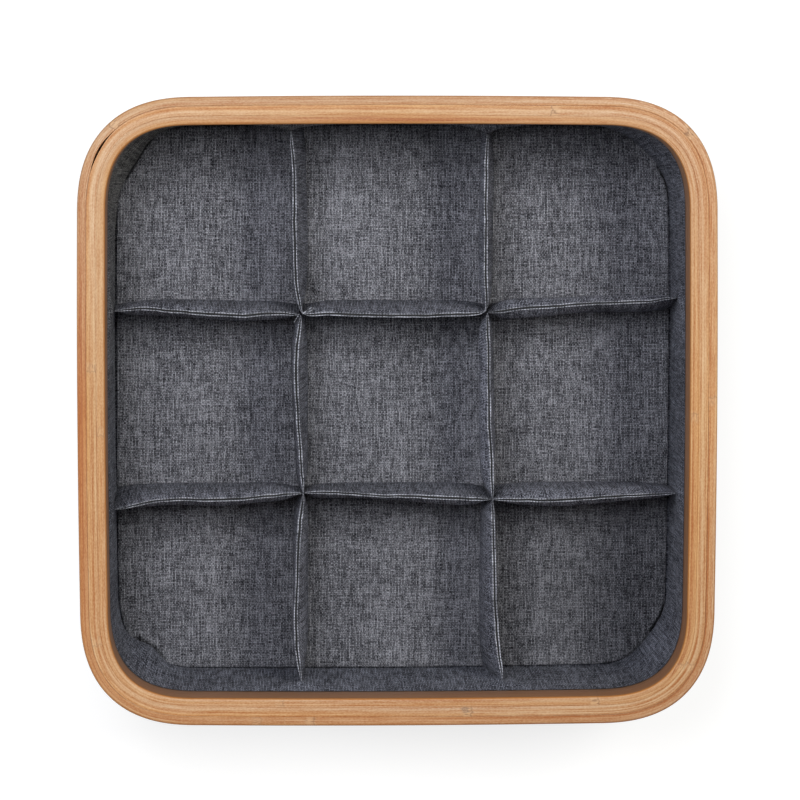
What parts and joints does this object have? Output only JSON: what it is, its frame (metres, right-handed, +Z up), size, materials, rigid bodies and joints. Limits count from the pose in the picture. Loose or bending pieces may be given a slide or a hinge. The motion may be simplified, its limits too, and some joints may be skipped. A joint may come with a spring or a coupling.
{
  "type": "organizer tray",
  "caption": "Open soft-cornered fabric tray with a laminated bamboo rim and crossing stiffened cloth dividers that make square cells.",
  "frame": {"origin": "middle of the underside, on the surface that the tray stands on", "axes": "+Z up, +X to the tray's right side, +Y to its back side (the top of the picture)"},
  "size_m": [0.32, 0.316, 0.1],
  "materials": {
    "bamboo": "light bamboo, sanded and oiled, satin, grain along the ply",
    "bamboo_outer_ply": "slightly redder bamboo ply, satin, grain along the ply",
    "outer_cloth": "matt charcoal linen-look plain weave with lighter slubs",
    "lining_cloth": "matt charcoal linen-look plain weave with lighter slubs",
    "fibreboard": "raw grey-brown fibreboard, matt",
    "divider_card": "dark grey pressed board, matt"
  },
  "bodies": {
    "root": {"rim_outer_ply": "bamboo_outer_ply", "rim_middle_ply": "bamboo", "rim_inner_ply": "bamboo", "outer_wall_cloth": "outer_cloth", "bottom_cloth": "outer_cloth", "base_board": "fibreboard", "wall_board_back": "fibreboard", "wall_board_front": "fibreboard", "wall_lining": "lining_cloth", "floor_board": "fibreboard", "floor_cloth": "lining_cloth", "front_divider_left_sleeve": "lining_cloth", "front_divider_middle_sleeve": "lining_cloth", "front_divider_right_sleeve": "lining_cloth", "back_divider_left_sleeve": "lining_cloth", "back_divider_middle_sleeve": "lining_cloth", "back_divider_right_sleeve": "lining_cloth", "left_divider_front_sleeve": "lining_cloth", "left_divider_middle_sleeve": "lining_cloth", "left_divider_back_sleeve": "lining_cloth", "right_divider_front_sleeve": "lining_cloth", "right_divider_middle_sleeve": "lining_cloth", "right_divider_back_sleeve": "lining_cloth", "front_divider_left_card": "divider_card", "front_divider_middle_card": "divider_card", "front_divider_right_card": "divider_card", "back_divider_left_card": "divider_card", "back_divider_middle_card": "divider_card", "back_divider_right_card": "divider_card", "left_divider_front_card": "divider_card", "left_divider_middle_card": "divider_card", "left_divider_back_card": "divider_card", "right_divider_front_card": "divider_card", "right_divider_middle_card": "divider_card", "right_divider_back_card": "divider_card"}
  },
  "joints": []
}
